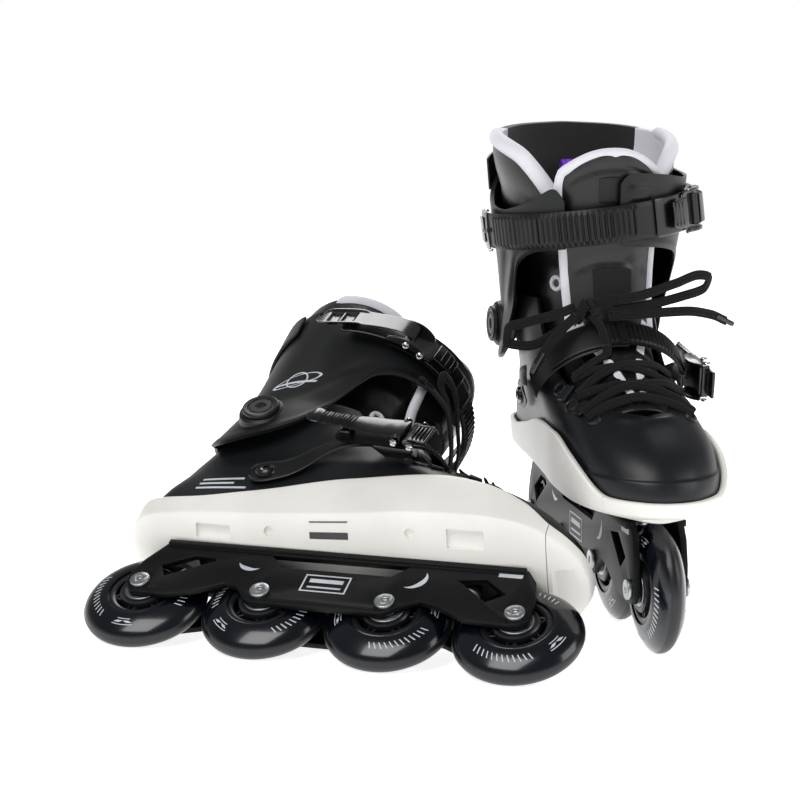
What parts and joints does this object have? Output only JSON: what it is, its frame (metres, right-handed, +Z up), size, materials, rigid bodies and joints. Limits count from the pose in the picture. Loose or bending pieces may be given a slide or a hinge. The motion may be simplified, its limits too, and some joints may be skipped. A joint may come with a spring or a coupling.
{
  "type": "inline skates",
  "caption": "Pair of inline skates with moulded shells, hinged cuffs, ratchet buckle straps, laces and in-line wheels on bearings; one stands, one lies.",
  "frame": {"origin": "on the floor under the middle of the left skate's wheel line", "axes": "+Z up; the left skate points along -Y with its outer side towards +X; the right skate lies on its inner side towards -X"},
  "size_m": [0.4215, 0.38, 0.319],
  "materials": {
    "shell_plastic": "satin moulded, charcoal",
    "base_white": "satin moulded, warm white",
    "frame_black": "satin black anodised",
    "steel": "zinc plated",
    "bearing_steel": "ground",
    "liner_black": "smooth synthetic leather",
    "footbed_foam": "felted foam",
    "strap_black": "satin moulded",
    "buckle_black": "glossy moulded",
    "lace_black": "flat woven",
    "pivot_black": "satin moulded",
    "tyre_navy": "glossy cast urethane, dark navy"
  },
  "bodies": {
    "left_boot": {"left_boot_shell": "shell_plastic", "left_soul_plate": "base_white", "left_toe_cap": "base_white", "left_frame": "frame_black", "left_frame_bolts": "steel", "left_axles": "steel", "left_inner_rings": "bearing_steel", "left_liner": "liner_black", "left_tongue": "liner_black", "left_footbed": "footbed_foam", "left_instep_strap": "strap_black", "left_instep_buckle": "buckle_black", "left_laces": "lace_black", "left_cuff_pivots": "pivot_black"},
    "left_cuff": {"left_cuff": "shell_plastic", "left_liner_collar": "liner_black", "left_cuff_strap": "strap_black", "left_cuff_buckle": "buckle_black"},
    "left_cuff_lever": {"left_cuff_lever": "buckle_black"},
    "left_cuff_release": {"left_cuff_release": "buckle_black"},
    "left_instep_lever": {"left_instep_lever": "buckle_black"},
    "left_instep_release": {"left_instep_release": "buckle_black"},
    "left_wheel_1": {"left_wheel_1": "tyre_navy", "left_bearings_1": "bearing_steel"},
    "left_wheel_2": {"left_wheel_2": "tyre_navy", "left_bearings_2": "bearing_steel"},
    "left_wheel_3": {"left_wheel_3": "tyre_navy", "left_bearings_3": "bearing_steel"},
    "left_wheel_4": {"left_wheel_4": "tyre_navy", "left_bearings_4": "bearing_steel"},
    "right_boot": {"right_boot_shell": "shell_plastic", "right_soul_plate": "base_white", "right_toe_cap": "base_white", "right_frame": "frame_black", "right_frame_bolts": "steel", "right_axles": "steel", "right_inner_rings": "bearing_steel", "right_liner": "liner_black", "right_tongue": "liner_black", "right_footbed": "footbed_foam", "right_instep_strap": "strap_black", "right_instep_buckle": "buckle_black", "right_laces": "lace_black", "right_cuff_pivots": "pivot_black"},
    "right_cuff": {"right_cuff": "shell_plastic", "right_liner_collar": "liner_black", "right_cuff_strap": "strap_black", "right_cuff_buckle": "buckle_black"},
    "right_cuff_lever": {"right_cuff_lever": "buckle_black"},
    "right_cuff_release": {"right_cuff_release": "buckle_black"},
    "right_instep_lever": {"right_instep_lever": "buckle_black"},
    "right_instep_release": {"right_instep_release": "buckle_black"},
    "right_wheel_1": {"right_wheel_1": "tyre_navy", "right_bearings_1": "bearing_steel"},
    "right_wheel_2": {"right_wheel_2": "tyre_navy", "right_bearings_2": "bearing_steel"},
    "right_wheel_3": {"right_wheel_3": "tyre_navy", "right_bearings_3": "bearing_steel"},
    "right_wheel_4": {"right_wheel_4": "tyre_navy", "right_bearings_4": "bearing_steel"}
  },
  "joints": [
    {"name": "left_wheel_1_spin", "type": "hinge", "parent": "left_boot", "child": "left_wheel_1", "pos_m": [0, 0.12225, 0.04], "axis": [1, 0, 0], "continuous": true},
    {"name": "left_wheel_2_spin", "type": "hinge", "parent": "left_boot", "child": "left_wheel_2", "pos_m": [0, 0.04075, 0.04], "axis": [1, 0, 0], "continuous": true},
    {"name": "left_wheel_3_spin", "type": "hinge", "parent": "left_boot", "child": "left_wheel_3", "pos_m": [0, -0.04075, 0.04], "axis": [1, 0, 0], "continuous": true},
    {"name": "left_wheel_4_spin", "type": "hinge", "parent": "left_boot", "child": "left_wheel_4", "pos_m": [0, -0.12225, 0.04], "axis": [1, 0, 0], "continuous": true},
    {"name": "left_cuff_flex", "type": "hinge", "parent": "left_boot", "child": "left_cuff", "pos_m": [0, 0.086, 0.18], "axis": [1, 0, 0], "range_deg": [0, 12]},
    {"name": "left_cuff_lever_hinge", "type": "hinge", "parent": "left_cuff", "child": "left_cuff_lever", "pos_m": [0.06376, 0.00321, 0.26383], "axis": [0.1219, 0, -0.9925], "range_deg": [0, 70]},
    {"name": "left_cuff_release_hinge", "type": "hinge", "parent": "left_cuff", "child": "left_cuff_release", "pos_m": [0.05085, -0.01151, 0.26224], "axis": [-0.1219, 0, 0.9925], "range_deg": [0, 15], "stiffness_Nm_per_rad": 0.08},
    {"name": "left_instep_lever_hinge", "type": "hinge", "parent": "left_boot", "child": "left_instep_lever", "pos_m": [0.061, -0.02183, 0.15449], "axis": [0, 0.1392, -0.9903], "range_deg": [0, 70]},
    {"name": "left_instep_release_hinge", "type": "hinge", "parent": "left_boot", "child": "left_instep_release", "pos_m": [0.0614, -0.02925, 0.15345], "axis": [0, -0.1392, 0.9903], "range_deg": [0, 15], "stiffness_Nm_per_rad": 0.08},
    {"name": "right_skate_lift", "type": "slide", "parent": "left_boot", "child": "right_boot", "axis": [-0.7071, 0, 0.7071], "range_m": [0, 0.3]},
    {"name": "right_wheel_1_spin", "type": "hinge", "parent": "right_boot", "child": "right_wheel_1", "pos_m": [-0.3049, -0.02624, 0.02104], "axis": [0.2192, 0.3796, -0.8988], "continuous": true},
    {"name": "right_wheel_2_spin", "type": "hinge", "parent": "right_boot", "child": "right_wheel_2", "pos_m": [-0.23431, -0.06699, 0.02104], "axis": [0.2192, 0.3796, -0.8988], "continuous": true},
    {"name": "right_wheel_3_spin", "type": "hinge", "parent": "right_boot", "child": "right_wheel_3", "pos_m": [-0.16373, -0.10774, 0.02104], "axis": [0.2192, 0.3796, -0.8988], "continuous": true},
    {"name": "right_wheel_4_spin", "type": "hinge", "parent": "right_boot", "child": "right_wheel_4", "pos_m": [-0.09315, -0.14849, 0.02104], "axis": [0.2192, 0.3796, -0.8988], "continuous": true},
    {"name": "right_cuff_flex", "type": "hinge", "parent": "right_boot", "child": "right_cuff", "pos_m": [-0.21059, 0.06461, 0.08241], "axis": [0.2192, 0.3796, -0.8988], "range_deg": [0, 12]},
    {"name": "right_cuff_lever_hinge", "type": "hinge", "parent": "right_cuff", "child": "right_cuff_lever", "pos_m": [-0.11519, 0.06426, 0.17646], "axis": [0.4728, 0.8188, 0.3256], "range_deg": [0, 70]},
    {"name": "right_cuff_release_hinge", "type": "hinge", "parent": "right_cuff", "child": "right_cuff_release", "pos_m": [-0.10032, 0.06056, 0.16416], "axis": [-0.4728, -0.8188, -0.3256], "range_deg": [0, 15], "stiffness_Nm_per_rad": 0.08},
    {"name": "right_instep_lever_hinge", "type": "hinge", "parent": "right_boot", "child": "right_instep_lever", "pos_m": [-0.14204, -0.03232, 0.12605], "axis": [0.5656, 0.7012, 0.4341], "range_deg": [0, 70]},
    {"name": "right_instep_release_hinge", "type": "hinge", "parent": "right_boot", "child": "right_instep_release", "pos_m": [-0.13617, -0.03699, 0.12595], "axis": [-0.5656, -0.7012, -0.4341], "range_deg": [0, 15], "stiffness_Nm_per_rad": 0.08}
  ]
}
